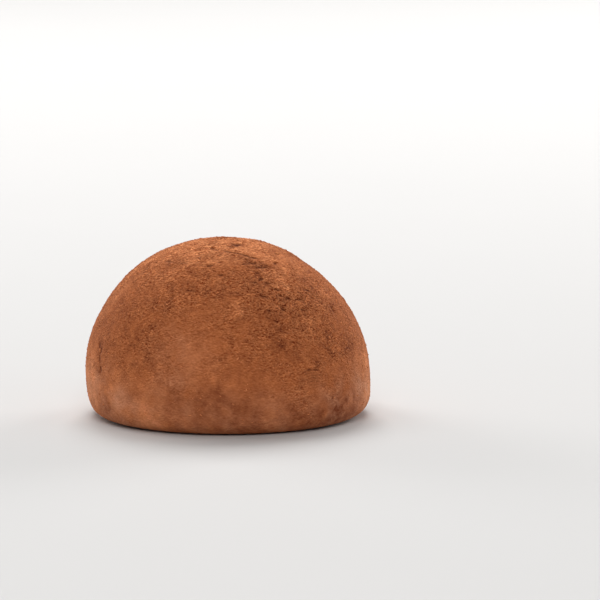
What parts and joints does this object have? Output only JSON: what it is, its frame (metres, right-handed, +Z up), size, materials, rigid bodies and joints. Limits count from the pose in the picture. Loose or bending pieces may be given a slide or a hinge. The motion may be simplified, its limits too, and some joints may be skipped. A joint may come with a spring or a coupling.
{
  "type": "mochi",
  "caption": "Cocoa-dusted mochi: a soft, slightly uneven round dome of filled rice dough that rests on its flat base.",
  "frame": {"origin": "middle of the flat base, at the bottom centre of the bounding box", "axes": "+Z up, -Y the front that the picture shows, +X to the right of that front"},
  "size_m": [0.046, 0.0456, 0.0288],
  "materials": {
    "cocoa_powder": "dry, matt cocoa powder in a thin even coat",
    "rice_dough": "pale, soft rice dough with a faint satin sheen and a trace of starch"
  },
  "bodies": {
    "root": {"mochi": "cocoa_powder"}
  },
  "joints": []
}
